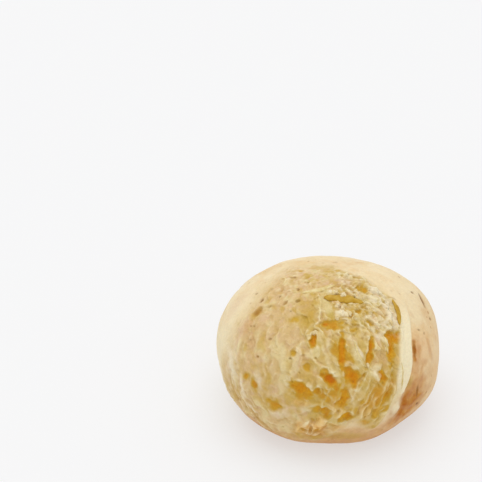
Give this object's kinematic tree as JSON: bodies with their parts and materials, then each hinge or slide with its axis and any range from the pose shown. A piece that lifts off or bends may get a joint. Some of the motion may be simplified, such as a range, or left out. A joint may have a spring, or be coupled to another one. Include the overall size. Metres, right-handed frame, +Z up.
{
  "type": "cheese bun",
  "caption": "Small round baked cheese bun with smooth pale crust, a torn crumbly face of melted cheese and a flat underside.",
  "frame": {"origin": "centre of the bounding box's bottom, on the flat underside that the bun rests on", "axes": "+Z up, -Y towards the torn face at the front, +X to the right as seen from the front"},
  "size_m": [0.055, 0.054, 0.0366],
  "materials": {
    "crust": "matte baked crust, cream with golden cheese and a browned foot"
  },
  "bodies": {
    "root": {"cheese_ball": "crust"}
  },
  "joints": []
}
